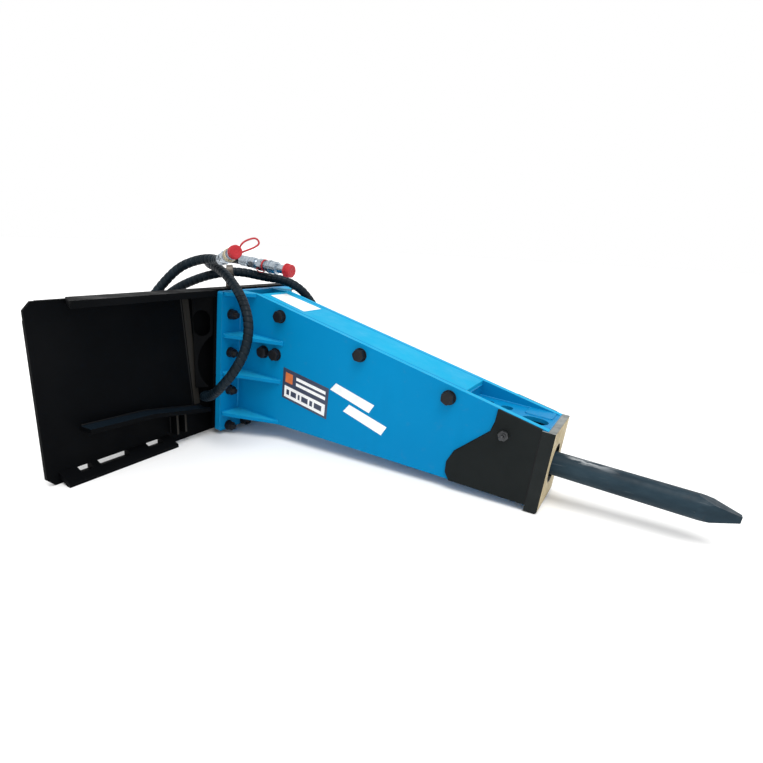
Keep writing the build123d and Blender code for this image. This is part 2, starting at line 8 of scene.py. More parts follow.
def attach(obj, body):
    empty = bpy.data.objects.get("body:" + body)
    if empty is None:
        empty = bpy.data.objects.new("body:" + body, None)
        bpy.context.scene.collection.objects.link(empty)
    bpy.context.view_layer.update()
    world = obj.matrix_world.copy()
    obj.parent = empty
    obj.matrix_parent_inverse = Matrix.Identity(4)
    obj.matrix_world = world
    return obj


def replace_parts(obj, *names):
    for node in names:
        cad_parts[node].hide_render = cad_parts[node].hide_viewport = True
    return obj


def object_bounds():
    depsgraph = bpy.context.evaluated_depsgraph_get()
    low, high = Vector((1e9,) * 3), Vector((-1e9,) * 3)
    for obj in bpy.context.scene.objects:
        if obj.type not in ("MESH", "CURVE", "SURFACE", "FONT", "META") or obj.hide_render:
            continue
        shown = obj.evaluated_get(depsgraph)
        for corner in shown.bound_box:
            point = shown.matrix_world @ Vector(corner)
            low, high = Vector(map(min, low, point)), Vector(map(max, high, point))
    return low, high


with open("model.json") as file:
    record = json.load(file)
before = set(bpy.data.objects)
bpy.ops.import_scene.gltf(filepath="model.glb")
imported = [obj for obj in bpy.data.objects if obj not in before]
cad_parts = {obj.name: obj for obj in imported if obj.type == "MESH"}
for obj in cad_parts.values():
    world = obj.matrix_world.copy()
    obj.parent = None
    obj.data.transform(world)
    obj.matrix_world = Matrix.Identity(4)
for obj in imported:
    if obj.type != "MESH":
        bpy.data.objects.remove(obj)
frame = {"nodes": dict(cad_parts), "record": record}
CAD_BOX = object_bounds()
NODES = frame["nodes"]
LOW = CAD_BOX[0].z

# ------------------------------------------------------------------ the object's own frame, millimetres
TH = math.radians(4.0)
AX = np.array([math.cos(TH), 0.0, -math.sin(TH)])
HH = np.array([math.sin(TH), 0.0, math.cos(TH)])
YY = np.array([0.0, 1.0, 0.0])
ORG = np.array([75.0, 0.0, -55.5])


def H(s, y, h):
    return ORG + AX * s + HH * h + YY * y


def top_h(s):
    return 314.0 + (s - 92.0) * (120.7 - 314.0) / (1090.0 - 92.0)


def bot_h(s):
    return -131.0 + (s - 22.0) * 26.0 / 1068.0


def unit(v):
    v = np.asarray(v, float)
    return v / np.linalg.norm(v)


# ------------------------------------------------------------------ camera
scene = bpy.context.scene
R = np.array([
    [0.85368613, 0.51886569, 0.04470328],
    [0.19250857, -0.23464126, -0.95282943],
    [-0.48390127, 0.82202304, -0.30019608],
])
CAM = np.array([1397.98, -1469.91, 438.26])
F_PX, CX, CY = 522.82, 353.03, 405.54
cam_data = bpy.data.cameras.new("camera")
cam_data.sensor_width = 36.0
cam_data.lens = F_PX / 763.0 * 36.0
cam_data.shift_x = (381.5 - CX) / 763.0
cam_data.shift_y = (CY - 381.5) / 763.0
cam_data.clip_start, cam_data.clip_end = 0.05, 100.0
cam = bpy.data.objects.new("camera", cam_data)
scene.collection.objects.link(cam)
M = Matrix.Identity(4)
for i in range(3):
    M[i][0], M[i][1], M[i][2], M[i][3] = R[0][i], -R[1][i], -R[2][i], CAM[i] / 1000.0
cam.matrix_world = M
scene.camera = cam
scene.view_settings.view_transform = "Standard"
scene.view_settings.look = "None"


# ------------------------------------------------------------------ materials
class Mat:
    """A node material with short helpers."""

    def __init__(self, name, base=(0.5, 0.5, 0.5), rough=0.5, metal=0.0, coat=0.0, coat_rough=0.1, spec=0.5):
        self.m = bpy.data.materials.new(name)
        self.m.use_nodes = True
        self.n = self.m.node_tree.nodes
        self.l = self.m.node_tree.links
        self.b = self.n["Principled BSDF"]
        self.b.inputs["Base Color"].default_value = (*base, 1)
        self.b.inputs["Roughness"].default_value = rough
        self.b.inputs["Metallic"].default_value = metal
        self.b.inputs["Coat Weight"].default_value = coat
        self.b.inputs["Coat Roughness"].default_value = coat_rough
        self.b.inputs["Specular IOR Level"].default_value = spec
        self.m.diffuse_color = (*base, 1)
        tc = self.n.new("ShaderNodeTexCoord")
        self.obj = tc.outputs["Object"]

    def node(self, kind, **kw):
        x = self.n.new(kind)
        for k, v in kw.items():
            if k in x.inputs:
                x.inputs[k].default_value = v
            else:
                setattr(x, k, v)
        return x

    def link(self, a, b):
        self.l.new(a, b)

    def noise(self, scale, detail=4.0, rough=0.5, vec=None, stretch=None, distortion=0.0):
        t = self.n.new("ShaderNodeTexNoise")
        t.inputs["Scale"].default_value = scale
        t.inputs["Detail"].default_value = detail
        t.inputs["Roughness"].default_value = rough
        t.inputs["Distortion"].default_value = distortion
        src = vec or self.obj
        if stretch:
            mp = self.n.new("ShaderNodeMapping")
            mp.inputs["Scale"].default_value = stretch
            self.link(src, mp.inputs["Vector"])
            src = mp.outputs["Vector"]
        self.link(src, t.inputs["Vector"])
        return t.outputs["Fac"]

    def ramp(self, fac, stops):
        r = self.n.new("ShaderNodeValToRGB")
        e = r.color_ramp.elements
        while len(e) < len(stops):
            e.new(0.5)
        for el, (p, c) in zip(e, stops):
            el.position = p
            el.color = (*c, 1) if len(c) == 3 else c
        self.link(fac, r.inputs["Fac"])
        return r.outputs["Color"]

    def span(self, fac, lo, hi, a=0.0, b=1.0):
        r = self.n.new("ShaderNodeMapRange")
        r.inputs["From Min"].default_value = lo
        r.inputs["From Max"].default_value = hi
        r.inputs["To Min"].default_value = a
        r.inputs["To Max"].default_value = b
        self.link(fac, r.inputs["Value"])
        return r.outputs["Result"]

    def mix(self, fac, a, b):
        x = self.n.new("ShaderNodeMix")
        x.data_type = "RGBA"
        for sock, v in ((x.inputs["Factor"], fac), (x.inputs["A"], a), (x.inputs["B"], b)):
            if isinstance(v, tuple):
                sock.default_value = (*v, 1) if len(v) == 3 else v
            elif isinstance(v, (int, float)):
                sock.default_value = v
            else:
                self.link(v, sock)
        return x.outputs["Result"]

    def math(self, op, a, b=None):
        x = self.n.new("ShaderNodeMath")
        x.operation = op
        for sock, v in zip(x.inputs, (a, b)):
            if v is None:
                continue
            if isinstance(v, (int, float)):
                sock.default_value = v
            else:
                self.link(v, sock)
        return x.outputs["Value"]

    def color(self, c):
        self.link(c, self.b.inputs["Base Color"])

    def rough(self, r):
        self.link(r, self.b.inputs["Roughness"])

    def metal(self, r):
        self.link(r, self.b.inputs["Metallic"])

    def bump(self, height, strength, dist=0.001):
        x = self.n.new("ShaderNodeBump")
        x.inputs["Strength"].default_value = strength
        x.inputs["Distance"].default_value = dist
        self.link(height, x.inputs["Height"])
        if getattr(self, "_bump", None):
            self.link(self._bump, x.inputs["Normal"])
        self._bump = x.outputs["Normal"]
        self.link(self._bump, self.b.inputs["Normal"])

    def edge(self, radius=0.003):
        """1 near sharp edges, 0 on flats."""
        bv = self.n.new("ShaderNodeBevel")
        bv.samples = 4
        bv.inputs["Radius"].default_value = radius
        g = self.n.new("ShaderNodeNewGeometry")
        d = self.n.new("ShaderNodeVectorMath")
        d.operation = "DOT_PRODUCT"
        self.link(bv.outputs["Normal"], d.inputs[0])
        self.link(g.outputs["Normal"], d.inputs[1])
        return self.span(d.outputs["Value"], 0.995, 0.86)

    def axis_pos(self, axis, origin):
        """Distance along an axis through a point, in metres, in the row frame."""
        d = self.n.new("ShaderNodeVectorMath")
        d.operation = "SUBTRACT"
        self.link(self.obj, d.inputs[0])
        d.inputs[1].default_value = tuple(np.asarray(origin) / 1000.0)
        e = self.n.new("ShaderNodeVectorMath")
        e.operation = "DOT_PRODUCT"
        self.link(d.outputs["Vector"], e.inputs[0])
        e.inputs[1].default_value = tuple(axis)
        return e.outputs["Value"]

    def facing(self, axis):
        """Dot of the true normal with an axis, for a material on a body that doesn't turn."""
        g = self.n.new("ShaderNodeNewGeometry")
        e = self.n.new("ShaderNodeVectorMath")
        e.operation = "DOT_PRODUCT"
        self.link(g.outputs["Normal"], e.inputs[0])
        e.inputs[1].default_value = tuple(axis)
        return e.outputs["Value"]


def paint(name, base, dark, light, rough=0.3, coat=0.0, dust=0.25, wear=0.0, bare=(0.10, 0.10, 0.11), spec=0.1, lit_face=None, axis=None):
    m = Mat(name, base, rough, 0.0, coat, 0.2, spec)
    big = m.noise(2.3, 3, 0.5)
    col = m.ramp(big, [(0.28, dark), (0.5, base), (0.74, light)])
    fine = m.noise(38, 6, 0.65)
    spots = m.span(fine, 0.60, 0.76, 0, dust)
    col = m.mix(spots, col, tuple(min(1, 0.7 * c + 0.10 * max(base)) for c in base))
    # faces turned towards the given axis (up by default) get a separate lighter colour: painted highlight where light
    # falls on them
    if lit_face:
        col = m.mix(m.span(m.facing(HH if axis is None else axis), 0.90, 0.96), col, lit_face)
    streak = m.noise(9, 5, 0.6, stretch=(1.0, 1.0, 0.18))
    col = m.mix(m.span(streak, 0.56, 0.80, 0, 0.22), col, tuple(c * 0.62 for c in dark))
    e = m.edge(0.0028)
    brk = m.span(m.noise(60, 5, 0.7), 0.42, 0.62)
    edge = m.math("MULTIPLY", e, brk)
    col = m.mix(m.math("MULTIPLY", edge, 0.55), col, tuple(min(1, c * 1.2 + 0.06 * max(light)) for c in light))
    if wear:
        chip = m.math("MULTIPLY", m.math("MULTIPLY", e, m.span(m.noise(95, 4, 0.6), 0.56, 0.62)), wear)
        col = m.mix(chip, col, bare)
    m.color(col)
    m.rough(m.span(m.noise(14, 5, 0.6), 0.3, 0.75, rough * 0.8, min(1, rough * 1.45)))
    rnd = m.n.new("ShaderNodeBevel")
    rnd.samples = 4
    rnd.inputs["Radius"].default_value = 0.0016
    m._bump = rnd.outputs["Normal"]
    m.bump(m.noise(320, 3, 0.5), 0.10, 0.0004)
    m.bump(m.noise(7, 3, 0.5), 0.12, 0.002)
    return m


def metal(name, base, rough=0.3, tint=None, grain=(1, 1, 1), scale=60, bump=0.08, metallic=1.0, dirt=0.3):
    m = Mat(name, base, rough, metallic)
    t = tint or tuple(c * 0.72 for c in base)
    a = m.noise(scale, 5, 0.6, stretch=grain)
    col = m.ramp(a, [(0.3, t), (0.7, base)])
    d = m.span(m.noise(22, 6, 0.7), 0.55, 0.8, 0, dirt)
    col = m.mix(d, col, tuple(c * 0.35 for c in base))
    m.color(col)
    m.rough(m.span(m.noise(scale * 1.7, 4, 0.6, stretch=grain), 0.3, 0.7, rough * 0.75, min(1, rough * 1.4)))
    m.bump(m.noise(scale * 5, 3, 0.6, stretch=grain), bump, 0.0006)
    return m


BLUE = paint("blue_paint", (0.0, 0.200, 0.440), (0.0, 0.185, 0.415), (0.0, 0.215, 0.465), 0.42, wear=0.35, spec=0.10)
# side plates and flange gussets: their up-facing top edges take the light cover blue, a painted highlight
SIDE = paint("blue_side", (0.0, 0.200, 0.440), (0.0, 0.185, 0.415), (0.0, 0.215, 0.465), 0.46, wear=0.35, spec=0.05, lit_face=(0.01, 0.32, 0.56))
# the top cover is a lighter copy of the blue paint: painted light from above on the up-facing cover
COVER = paint("cover_paint", (0.004, 0.315, 0.55), (0.0, 0.300, 0.53), (0.004, 0.335, 0.57), 0.46, wear=0.2, spec=0.05)
BLACK = paint("black_paint", (0.0024, 0.0028, 0.0034), (0.0016, 0.0019, 0.0024), (0.0042, 0.0045, 0.0050), 0.50, dust=0.10, wear=0.30, bare=(0.045, 0.040, 0.035), spec=0.035)
# plate ribs: faces turned to +X get a lighter colour, a painted highlight on their lit front edges
RIB = paint("rib_paint", (0.0024, 0.0028, 0.0034), (0.0016, 0.0019, 0.0024), (0.0042, 0.0045, 0.0050), 0.50, dust=0.10, wear=0.30, bare=(0.045, 0.040, 0.035), spec=0.035, lit_face=(0.030, 0.028, 0.025), axis=(1, 0, 0))
# lower gussets: up-facing faces get a lighter blue-grey, a painted highlight on their lit top surfaces
GUSS = paint("gusset_paint", (0.0024, 0.0028, 0.0034), (0.0016, 0.0019, 0.0024), (0.0042, 0.0045, 0.0050), 0.50, dust=0.10, wear=0.30, bare=(0.045, 0.040, 0.035), spec=0.035, lit_face=(0.006, 0.011, 0.017), axis=(0, 0, 1))
WEAR = paint("wear_plate_black", (0.0085, 0.0110, 0.0112), (0.0065, 0.0085, 0.0088), (0.0115, 0.0145, 0.0148), 0.50, dust=0.08, wear=0.35, bare=(0.06, 0.06, 0.06), spec=0.10)
CELL = paint("cell_paint", (0.035, 0.036, 0.04), (0.025, 0.026, 0.03), (0.05, 0.05, 0.055), 0.45, dust=0.3)
CLAMP = Mat("clamp_steel", (0.10, 0.085, 0.07), 0.5, 0.5)
CLAMP.color(CLAMP.ramp(CLAMP.noise(60, 5, 0.6), [(0.3, (0.045, 0.035, 0.028)), (0.7, (0.16, 0.14, 0.12))]))
CLAMP.bump(CLAMP.noise(200, 4), 0.15, 0.0005)
OXIDE = metal("black_oxide", (0.012, 0.013, 0.016), 0.40, scale=90, dirt=0.4, metallic=0.15)
OXIDE.b.inputs["Specular IOR Level"].default_value = 0.22
GROUND = metal("ground_steel", (0.60, 0.60, 0.60), 0.20, grain=(1, 6, 6), scale=120)
ZINC = metal("zinc_plate", (0.50, 0.56, 0.62), 0.26, tint=(0.30, 0.35, 0.40), scale=70, bump=0.05, dirt=0.25)
YZINC = metal("yellow_zinc", (0.62, 0.52, 0.30), 0.28, tint=(0.50, 0.38, 0.20), scale=70, bump=0.05, dirt=0.3)
BRONZE = metal("bush_bronze", (0.55, 0.38, 0.18), 0.30, grain=(1, 5, 5), scale=80)

URE = Mat("urethane", (0.42, 0.24, 0.05), 0.45)
URE.color(URE.ramp(URE.noise(30, 5), [(0.3, (0.34, 0.18, 0.035)), (0.7, (0.46, 0.28, 0.07))]))
URE.bump(URE.noise(150, 4), 0.15, 0.0006)
SEAL = Mat("seal_rubber", (0.015, 0.015, 0.015), 0.6)
SEAL.color(SEAL.ramp(SEAL.noise(60, 5), [(0.3, (0.010, 0.010, 0.010)), (0.7, (0.022, 0.022, 0.022))]))
SEAL.bump(SEAL.noise(260, 3), 0.2, 0.0004)

GUARD = Mat("spiral_guard", (0.005, 0.011, 0.017), 0.42, spec=0.13)
GUARD.color(GUARD.mix(GUARD.span(GUARD.noise(70, 6, 0.7), 0.5, 0.8, 0, 0.5), GUARD.ramp(GUARD.noise(25, 4), [(0.3, (0.0025, 0.007, 0.011)), (0.7, (0.006, 0.014, 0.022))]), (0.014, 0.024, 0.034)))
GUARD.rough(GUARD.span(GUARD.noise(40, 5, 0.6), 0.3, 0.7, 0.28, 0.50))
GUARD.bump(GUARD.noise(300, 4), 0.18, 0.0004)

RED = Mat("cap_red", (0.40, 0.022, 0.030), 0.42, spec=0.18)
RED.b.inputs["Subsurface Weight"].default_value = 0.0
RED.color(RED.mix(RED.span(RED.noise(50, 5, 0.7), 0.55, 0.8, 0, 0.45), RED.ramp(RED.noise(18, 4), [(0.3, (0.37, 0.020, 0.028)), (0.7, (0.45, 0.030, 0.038))]), (0.24, 0.012, 0.018)))
RED.bump(RED.noise(220, 3), 0.12, 0.0004)

# forged tool: blue-black scale, a pale band of painted highlight on its upper side where it leaves the housing, ground
# point
TOOL = Mat("tool_steel", (0.020, 0.036, 0.048), 0.50, 0.0, spec=0.11)
pos = TOOL.axis_pos(AX, H(1126, 0, 0))
tc = TOOL.ramp(TOOL.noise(26, 6, 0.62, stretch=(0.35, 1, 1)), [(0.30, (0.009, 0.020, 0.030)), (0.55, (0.016, 0.033, 0.047)), (0.80, (0.026, 0.047, 0.063))])
# an up-facing mask, a noise patch and a band near the housing give a pale painted highlight on the tool's upper side
lit_face = TOOL.span(TOOL.facing(HH), 0.72, 0.95)
patch = TOOL.span(TOOL.noise(34, 6, 0.7, stretch=(0.25, 1.2, 1)), 0.50, 0.60)
near = TOOL.math("MULTIPLY", TOOL.span(pos, 0.02, 0.05), TOOL.span(pos, 0.17, 0.09))
tc = TOOL.mix(TOOL.math("MULTIPLY", TOOL.math("MULTIPLY", lit_face, patch), near), tc, (0.34, 0.36, 0.38))
scr = TOOL.span(TOOL.noise(120, 3, 0.5, stretch=(0.08, 1, 1)), 0.64, 0.70, 0, 0.35)
tc = TOOL.mix(scr, tc, (0.085, 0.105, 0.12))
rust = TOOL.math("MULTIPLY", TOOL.span(TOOL.noise(18, 6, 0.7), 0.58, 0.78), TOOL.span(pos, 0.30, 0.40, 0.15, 0.35))
tc = TOOL.mix(rust, tc, (0.10, 0.055, 0.03))
TOOL.color(tc)
TOOL.rough(TOOL.span(TOOL.noise(45, 5, 0.6), 0.3, 0.7, 0.30, 0.52))
TOOL.bump(TOOL.noise(55, 5, 0.6, stretch=(0.5, 1, 1)), 0.22, 0.0012)
TOOL.bump(TOOL.noise(400, 3), 0.12, 0.0004)

# front block: black sides, bare primed face with drag marks, light band along its top edge
END = Mat("front_block", (0.012, 0.012, 0.013), 0.45)
side_c = END.ramp(END.noise(12, 5), [(0.3, (0.008, 0.0105, 0.0108)), (0.7, (0.014, 0.017, 0.0172))])
face_n = END.noise(16, 6, 0.65)
face_c = END.ramp(face_n, [(0.25, (0.30, 0.235, 0.125)), (0.50, (0.45, 0.375, 0.225)), (0.75, (0.54, 0.46, 0.30))])
face_c = END.mix(END.span(END.noise(110, 5, 0.7), 0.50, 0.70, 0, 0.55), face_c, (0.24, 0.17, 0.10))
face_c = END.mix(END.edge(0.006), face_c, (0.16, 0.12, 0.08))
top_c = END.ramp(END.noise(30, 5, 0.6), [(0.35, (0.11, 0.12, 0.12)), (0.65, (0.27, 0.28, 0.27))])
c = END.mix(END.span(END.facing(AX), 0.90, 0.95), side_c, face_c)
c = END.mix(END.span(END.facing(HH), 0.90, 0.95), c, top_c)
END.color(c)
END.b.inputs["Specular IOR Level"].default_value = 0.12
END.rough(END.span(END.noise(30, 5), 0.3, 0.7, 0.45, 0.75))
END.bump(END.noise(90, 6, 0.7), 0.25, 0.0012)
END.bump(END.noise(12, 4, 0.6), 0.2, 0.002)

WELD_BLUE = paint("weld_blue", (0.0, 0.21, 0.46), (0.0, 0.18, 0.41), (0.0, 0.25, 0.52), 0.36, dust=0.1, spec=0.2)
WELD_BLACK = paint("weld_black", (0.0065, 0.007, 0.008), (0.0045, 0.005, 0.0055), (0.010, 0.0105, 0.0115), 0.40, dust=0.1, spec=0.14)

STICK_W = Mat("sticker_white", (0.86, 0.87, 0.86), 0.32)
STICK_W.color(STICK_W.ramp(STICK_W.noise(40, 5), [(0.3, (0.78, 0.80, 0.80)), (0.7, (0.90, 0.91, 0.90))]))
STICK_N = Mat("sticker_navy", (0.030, 0.045, 0.085), 0.32)
STICK_N.color(STICK_N.ramp(STICK_N.noise(40, 5), [(0.3, (0.024, 0.036, 0.070)), (0.7, (0.040, 0.056, 0.10))]))
STICK_O = Mat("sticker_orange", (0.62, 0.17, 0.05), 0.32)
STICK_O.color(STICK_O.ramp(STICK_O.noise(40, 5), [(0.3, (0.55, 0.14, 0.04)), (0.7, (0.68, 0.20, 0.07))]))

SLOT_MAT = {
    "black_paint": BLACK, "blue_paint": BLUE, "cover_paint": COVER, "wear_black": WEAR, "end_block": END,
    "cell_paint": CELL, "black_oxide": OXIDE, "tool_steel": TOOL, "ground_steel": GROUND, "bush_bronze": BRONZE,
    "seal_rubber": SEAL, "urethane": URE, "zinc_plate": ZINC, "hose_rubber": GUARD, "cap_red": RED,
}
slot_of = {s["node"]: s["material_slot"] for s in frame["record"]["subparts"]}
OWN = {"side_plate_near": SIDE, "side_plate_far": SIDE, "flange_gussets": SIDE, "hose_clamp": CLAMP, "plate_ribs": RIB, "lower_gussets": GUSS}
for node, o in NODES.items():
    mat = OWN.get(node, SLOT_MAT[slot_of[node]]).m
    if o.material_slots:
        for ms in o.material_slots:
            ms.material = mat
    else:
        o.data.materials.append(mat)

# rounded edges on the flame-cut plates
for node, w in (
    ("top_shelf", 1.6), ("lower_gussets", 1.4), ("plate_ribs", 1.2),
    ("top_hook_rail", 1.4), ("top_cover", 1.0), ("bottom_plate", 1.0), ("flange_gussets", 1.4), ("hose_clamp", 1.0),
):
    o = NODES[node]
    wm = o.modifiers.new("join", "WELD")
    wm.merge_threshold = 1e-5
    bv = o.modifiers.new("edge", "BEVEL")
    bv.width = w / 1000.0
    bv.segments = 2
    bv.limit_method = "ANGLE"
    bv.angle_limit = math.radians(35)
    bv.use_clamp_overlap = True
    wn = o.modifiers.new("shade", "WEIGHTED_NORMAL")
    wn.keep_sharp = True
    wn.weight = 100


# ------------------------------------------------------------------ mesh helpers (millimetres in)
def add(name, verts, faces, mat, body="breaker", smooth=True, angle=35):
    me = bpy.data.meshes.new(name)
    me.from_pydata([tuple(np.asarray(v, float) / 1000.0) for v in verts], [], [tuple(f) for f in faces])
    me.validate()
    me.update()
    o = bpy.data.objects.new(name, me)
    scene.collection.objects.link(o)
    me.materials.append(mat.m)
    if smooth:
        me.polygons.foreach_set("use_smooth", [True] * len(me.polygons))
        me.set_sharp_from_angle(angle=math.radians(angle))
    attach(o, body)
    return o


class Soup:
    """Collects vertices and faces of several islands for one object."""

    def __init__(self):
        self.v, self.f = [], []

    def put(self, v, f):
        k = len(self.v)
        self.v += [np.asarray(x, float) for x in v]
        self.f += [tuple(i + k for i in q) for q in f]

    def rings(self, rings, close_a=True, close_b=True, closed=True):
        """Skins a list of rings of equal length."""
        n = len(rings[0])
        k = len(self.v)
        for r in rings:
            self.v += [np.asarray(x, float) for x in r]
        for i in range(len(rings) - 1):
            for j in range(n if closed else n - 1):
                a, b = k + i * n + j, k + i * n + (j + 1) % n
                self.f.append((a, b, b + n, a + n))
        if close_a:
            self.f.append(tuple(k + j for j in reversed(range(n))))
        if close_b:
            self.f.append(tuple(k + (len(rings) - 1) * n + j for j in range(n)))

    def lathe(self, c, axis, prof, n=40, shape=None):
        """prof: list of (distance along axis, radius). shape(theta, d, r) may change r."""
        e1, e2 = basis(axis)
        rings = []
        for d, r in prof:
            ring = []
            for j in range(n):
                t = 2 * math.pi * j / n
                rr = shape(t, d, r) if shape else r
                ring.append(np.asarray(c) + unit(axis) * d + (e1 * math.cos(t) + e2 * math.sin(t)) * rr)
            rings.append(ring)
        self.rings(rings)

    def hexa(self, c, axis, af, h, cham=True, both=False, n=48, turn=0.0, bore=None):
        """A hexagon head with its corners turned off at 30 degrees."""
        e1, e2 = basis(axis)
        ax = unit(axis)
        lo_r = af / 2 * 0.965

        def hexr(t):
            return (af / 2) / math.cos(((t + turn) % (math.pi / 3)) - math.pi / 6)

        def ring(d, rr):
            return [np.asarray(c) + ax * d + (e1 * math.cos(2 * math.pi * j / n) + e2 * math.sin(2 * math.pi * j / n)) * rr(2 * math.pi * j / n) for j in range(n)]

        rings = []
        if both:
            rings.append(ring(0, lambda t: lo_r))
            rings.append([np.asarray(c) + ax * ((hexr(2 * math.pi * j / n) - lo_r) * 0.577) + (e1 * math.cos(2 * math.pi * j / n) + e2 * math.sin(2 * math.pi * j / n)) * hexr(2 * math.pi * j / n) for j in range(n)])
        else:
            rings.append(ring(0, hexr))
        rings.append([np.asarray(c) + ax * (h - (hexr(2 * math.pi * j / n) - lo_r) * 0.577) + (e1 * math.cos(2 * math.pi * j / n) + e2 * math.sin(2 * math.pi * j / n)) * hexr(2 * math.pi * j / n) for j in range(n)])
        rings.append(ring(h, lambda t: lo_r))
        if bore is None:
            rings.append(ring(h, lambda t: lo_r * 0.55))
            self.rings(rings)
        else:
            rings.append(ring(h, lambda t: bore + 1.0))
            rings.append(ring(h - 1.0, lambda t: bore))
            rings.append(ring(1.0 if both else 0.0, lambda t: bore))
            if both:
                rings.append(ring(0, lambda t: bore + 1.0))
            k = len(self.v)
            m = len(rings)
            self.rings(rings, False, False)
            for j in range(n):
                a, b = k + j, k + (j + 1) % n
                self.f.append((b, a, k + (m - 1) * n + j, k + (m - 1) * n + (j + 1) % n))

    def thread(self, c, axis, r, h, pitch=2.5, n=28):
        prof = [(0, r * 0.96)]
        d = 0.0
        while d + pitch < h - 2.0:
            prof += [(d + pitch * 0.12, r * 0.90), (d + pitch * 0.55, r), (d + pitch * 0.95, r * 0.90)]
            d += pitch
        prof += [(h - 1.8, r * 0.90), (h - 1.6, r * 0.97), (h, r * 0.80)]
        self.lathe(c, axis, prof, n)

    def make(self, name, mat, body="breaker", angle=35):
        return add(name, self.v, self.f, mat, body, True, angle)


def basis(axis):
    a = unit(axis)
    g = np.array([0.0, 0.0, 1.0]) if abs(a[2]) < 0.9 else np.array([0.0, 1.0, 0.0])
    e1 = unit(np.cross(g, a))
    return e1, np.cross(a, e1)


def frames(pts):
    """Tangents and a twist-free side vector at each point."""
    p = np.asarray(pts, float)
    t = np.gradient(p, axis=0)
    t /= np.linalg.norm(t, axis=1)[:, None]
    e = basis(t[0])[0]
    out = []
    for i in range(len(p)):
        e = e - t[i] * (e @ t[i])
        e = e / np.linalg.norm(e)
        out.append((p[i], t[i], e, np.cross(t[i], e)))
    return out


def resample(pts, step):
    p = np.asarray(pts, float)
    d = np.r_[0, np.cumsum(np.linalg.norm(np.diff(p, axis=0), axis=1))]
    n = max(2, int(round(d[-1] / step)) + 1)
    s = np.linspace(0, d[-1], n)
    return np.stack([np.interp(s, d, p[:, i]) for i in range(3)], 1), s


def tube(soup, pts, radius, n=12, shape=None):
    """A round tube along points; radius may be a function of distance."""
    fr = frames(pts)
    d = 0.0
    rings = []
    for i, (p, t, e1, e2) in enumerate(fr):
        if i:
            d += np.linalg.norm(p - fr[i - 1][0])
        r = radius(d) if callable(radius) else radius
        ring = []
        for j in range(n):
            a = 2 * math.pi * j / n
            rr = shape(d, a, r) if shape else r
            ring.append(p + (e1 * math.cos(a) + e2 * math.sin(a)) * rr)
        rings.append(ring)
    soup.rings(rings)


RNG = np.random.default_rng(7)


def weld(soup, pts, r=3.2, step=1.6, pitch=4.2, n=8):
    """A rippled bead along a straight or bent seam."""
    p, s = resample(pts, step)
    jit = RNG.normal(0, 0.05, len(p))
    jit = np.convolve(jit, np.ones(5) / 5, "same")
    fr = frames(p)
    rings = []
    for i, (q, t, e1, e2) in enumerate(fr):
        ph = (s[i] / pitch) % 1.0
        rr = r * (0.86 + 0.16 * math.sqrt(1 - (2 * ph - 1) ** 2 * 0.9) + jit[i])
        if i in (0, len(fr) - 1):
            rr *= 0.35
        lag = 1.1 * r * 0.5
        rings.append([q + (e1 * math.cos(a) + e2 * math.sin(a)) * rr for a in (2 * math.pi * j / n for j in range(n))])
    soup.rings(rings)


# ------------------------------------------------------------------ weld seams
wb = Soup()
for sg in (-1, 1):
    weld(wb, [H(22, sg * 94, -128), H(22, sg * 94, 312)], 4.2)
    weld(wb, [H(93, sg * 74, 314 - 0.6), H(862, sg * 74, top_h(862) - 0.6)], 1.9, pitch=4.5)
    weld(wb, [H(864, sg * 73, 117.5), H(1092, sg * 73, 117.5)], 3.0)
    for h0 in (303.0, 161.0, 25.0, -125.0):
        s1 = 92 if h0 > 300 else 218
        y1 = 97
        for hh in (h0, h0 + 12):
            if hh > 314 or hh < -126:
                continue
            weld(wb, [H(26, sg * 94, hh), H(s1 - 2, sg * 94, hh)], 3.0)
            weld(wb, [H(22, sg * 97, hh), H(22, sg * 174, hh)], 3.0)
weld(wb, [H(863, -73, top_h(863) - 14), H(863, 73, top_h(863) - 14)], 2.4)
weld(wb, [H(92, -73, 300), H(92, 73, 300)], 2.4)
for sg in (-1, 1):
    weld(wb, [H(30, sg * 74, bot_h(30) - 0.5), H(1088, sg * 74, bot_h(1088) - 0.5)], 1.9)
weld(wb, [H(864, -73, 118), H(864, 73, 118)], 3.0)
weld(wb, [H(1017.5, 14, 117.6), H(1017.5, 66, 117.6)], 1.8)
weld(wb, [H(1022, 10.5, 117.6), H(1090, 10.5, 117.6)], 1.8)
weld(wb, [H(1104.5, -73, 117.0), H(1104.5, 73, 117.0)], 1.8)
wb.make("weld_beads_housing", WELD_BLUE, angle=60)

wk = Soup()
weld(wk, [(12.5, -652, 256.5), (12.5, 260, 256.5)], 2.8)
weld(wk, [(13, -652, 241), (13, 260, 241)], 3.6)
for dz in (1, -15):
    weld(wk, [(13, -652, -104 + dz), (13, -440, -113 + dz), (13, -204, -152 + dz)], 3.0)
for sg in (-1, 1):
    weld(wk, [(12, sg * 268, 240), (12, sg * 236, -142)], 2.8)
    weld(wk, [(12, sg * 240, 240), (12, sg * 208, -142)], 2.8)
    out = [(968, top_h(968) - 2), (966, 104), (958, 73), (867, -17), (850, -56), (851, -88), (866, bot_h(866) + 1)]
    weld(wk, [H(s, sg * 94, h) for s, h in out], 3.0)
    weld(wk, [H(1090, sg * 99.5, 114), H(1090, sg * 99.5, -104)], 2.4)
for y in (-300, -335, 300):
    if y == 300:
        continue
    for dy in (-4, 4):
        weld(wk, [(12, y + dy, -219), (12, y + dy, -161)], 2.4)
wk.make("weld_beads_mount", WELD_BLACK, angle=60)

